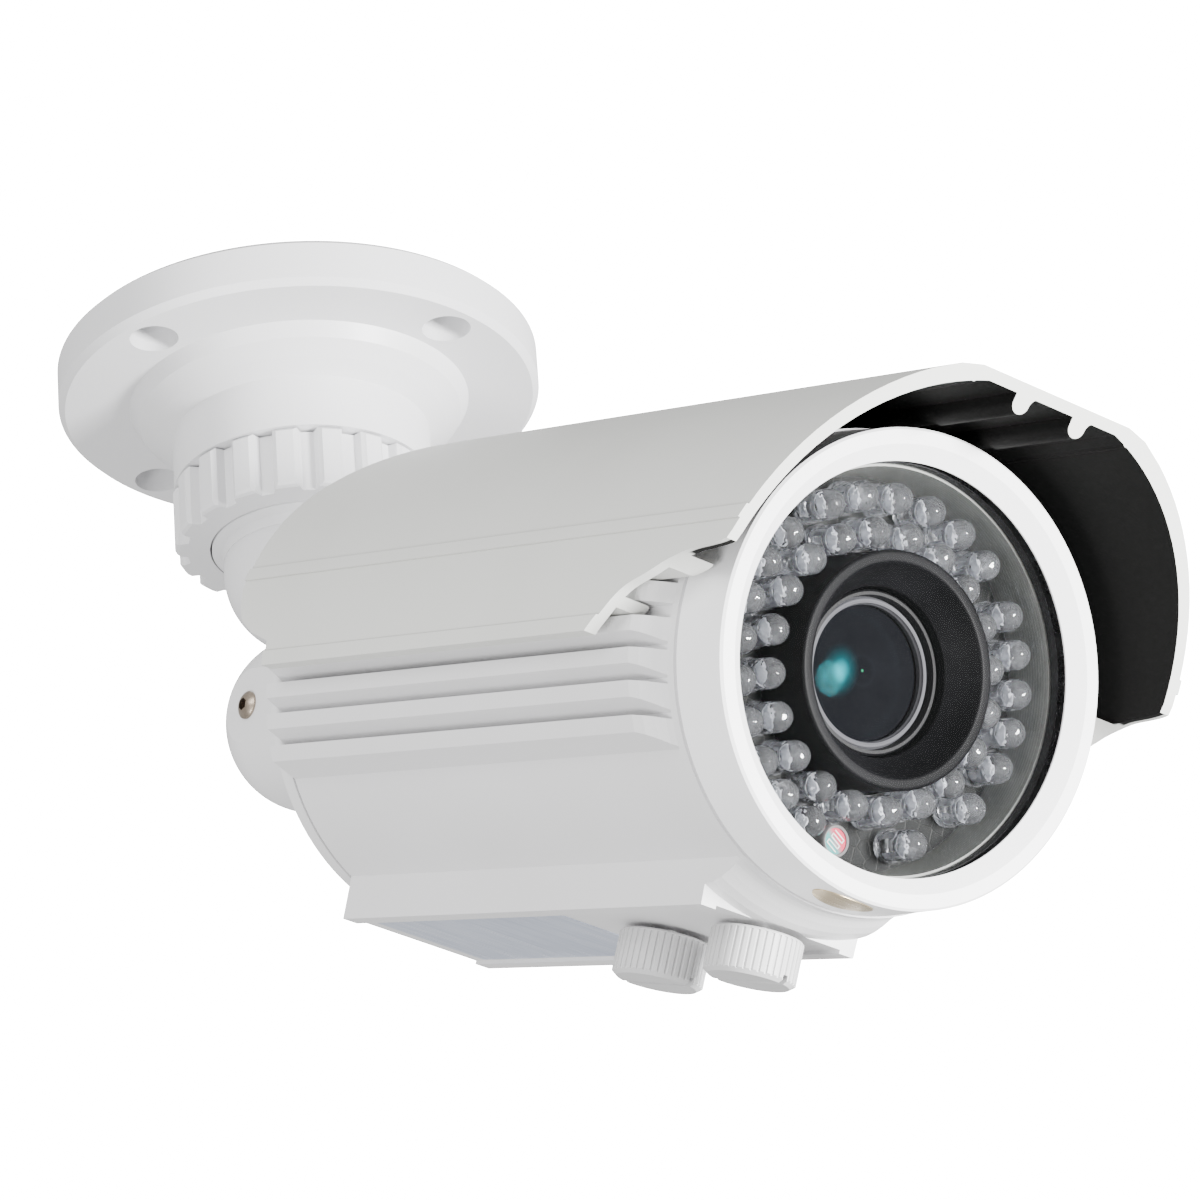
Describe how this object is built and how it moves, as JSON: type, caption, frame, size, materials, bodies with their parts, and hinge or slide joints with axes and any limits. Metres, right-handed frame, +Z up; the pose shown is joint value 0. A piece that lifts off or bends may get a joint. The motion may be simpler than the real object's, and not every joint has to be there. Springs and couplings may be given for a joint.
{
  "type": "infrared bullet security camera",
  "caption": "Cream-white infrared bullet security camera with a sunshield, two lens knobs and a ceiling bracket that pans, tilts and rolls.",
  "frame": {"origin": "centre of the ceiling flange's top face, where it meets the ceiling", "axes": "+Z up out of the flange into the ceiling; the lens looks along -Y and downwards; +X is the camera's left seen from behind the lens"},
  "size_m": [0.0917, 0.2378, 0.1738],
  "materials": {
    "cream_paint": "die-cast or extruded, powder coated satin cream white",
    "shield_paint": "satin white enamel outside, black inside",
    "grey_anodised": "turned, grey",
    "black_plastic": "matte black",
    "cream_plastic": "satin cream moulding",
    "rubber": "matte black",
    "glass": "clear",
    "lens_glass": "coated, dark",
    "lamp_resin": "clear bluish resin",
    "board_black": "black solder mask",
    "board_green": "green solder mask",
    "steel": "zinc plated",
    "brass": "machined",
    "nylon": "natural nylon",
    "foil": "blank foil",
    "gold_foil": "blank gold foil",
    "chip_black": "moulded package",
    "copper": "enamelled copper winding",
    "grey_knob": "satin enamel"
  },
  "bodies": {
    "mount": {"base_flange": "cream_paint", "friction_washer": "nylon"},
    "thumb_ring": {"lock_ring": "cream_paint"},
    "arm": {"swivel_arm": "cream_paint"},
    "tilt_head": {"knuckle": "cream_paint", "pivot_screw": "steel", "pivot_nut": "steel", "head_washers": "steel", "roll_bolt": "steel", "knuckle_washer": "nylon"},
    "camera": {"main_housing": "cream_paint", "rear_cap": "cream_paint", "front_cover": "cream_paint", "baffle_ring": "grey_anodised", "lens_mount": "grey_anodised", "lens_shroud": "black_plastic", "lens_tube": "black_plastic", "filter_frame": "black_plastic", "cable_gland": "black_plastic", "gland_nut": "black_plastic", "shield_spacer": "black_plastic", "rear_gasket": "rubber", "gland_seal": "rubber", "glass_seal": "rubber", "cover_seal": "rubber", "knob_seals": "rubber", "front_glass": "glass", "leds_outer": "lamp_resin", "leds_inner": "lamp_resin", "led_board": "board_black", "sensor_board": "board_green", "main_board": "board_green", "rear_cap_screws": "steel", "shield_screw": "steel", "board_pillars": "steel", "board_standoffs": "brass", "video_connector": "nylon", "keel_label": "foil", "front_badge": "gold_foil", "image_sensor": "chip_black", "board_chips": "chip_black", "light_sensor": "chip_black", "filter_coil": "copper"},
    "shield": {"sunshield": "shield_paint"},
    "focus_control": {"focus_knob": "grey_knob", "focus_shaft": "steel", "focus_clip": "steel"},
    "zoom_control": {"zoom_knob": "grey_knob", "zoom_shaft": "steel", "zoom_clip": "steel"},
    "focus_drive": {"focus_ring": "black_plastic", "lens_front_barrel": "black_plastic", "lens_front_ring": "grey_anodised", "lens_front_element": "lens_glass", "lens_inner_element": "lens_glass"},
    "zoom_drive": {"zoom_ring": "black_plastic", "lens_rear_cell": "black_plastic", "lens_rear_element": "lens_glass"},
    "day_night_filter": {"filter_carrier": "black_plastic", "filter_windows": "lens_glass"}
  },
  "joints": [
    {"name": "ring_turn", "type": "hinge", "parent": "mount", "child": "thumb_ring", "pos_m": [0, 0, -0.0327], "axis": [0, 0, 1], "range_deg": [0, 300]},
    {"name": "pan", "type": "hinge", "parent": "mount", "child": "arm", "pos_m": [0, 0, -0.0346], "axis": [0, 0, 1], "range_deg": [-170, 170]},
    {"name": "tilt", "type": "hinge", "parent": "arm", "child": "tilt_head", "pos_m": [0, 0, -0.0742], "axis": [1, 0, 0], "range_deg": [-20.7, 69.2]},
    {"name": "roll", "type": "hinge", "parent": "tilt_head", "child": "camera", "pos_m": [0, -0.04152, -0.08994], "axis": [0, 0.9351, 0.3545], "range_deg": [-90, 90]},
    {"name": "shield_slide", "type": "slide", "parent": "camera", "child": "shield", "axis": [0, 0.9351, 0.3545], "range_m": [-0.009, 0.009]},
    {"name": "focus_turn", "type": "hinge", "parent": "camera", "child": "focus_control", "pos_m": [-0.00335, -0.11946, -0.16447], "axis": [0.0793, -0.3533, 0.9321], "range_deg": [-170, 170]},
    {"name": "zoom_turn", "type": "hinge", "parent": "camera", "child": "zoom_control", "pos_m": [-0.00335, -0.09683, -0.15589], "axis": [0.0793, -0.3533, 0.9321], "range_deg": [-170, 170]},
    {"name": "focus_ring_turn", "type": "hinge", "parent": "camera", "child": "focus_drive", "pos_m": [0, -0.12661, -0.12219], "axis": [0, 0.9351, 0.3545], "range_deg": [-43, 43]},
    {"name": "zoom_ring_turn", "type": "hinge", "parent": "camera", "child": "zoom_drive", "pos_m": [0, -0.12006, -0.11971], "axis": [0, 0.9351, 0.3545], "range_deg": [-43, 43]},
    {"name": "filter_throw", "type": "slide", "parent": "camera", "child": "day_night_filter", "axis": [0.9968, 0.0281, -0.0742], "range_m": [0, 0.0082]}
  ],
  "couplings": [
    {"joint": "focus_ring_turn", "follows": "focus_turn", "ratio": 0.25},
    {"joint": "zoom_ring_turn", "follows": "zoom_turn", "ratio": -0.25}
  ]
}
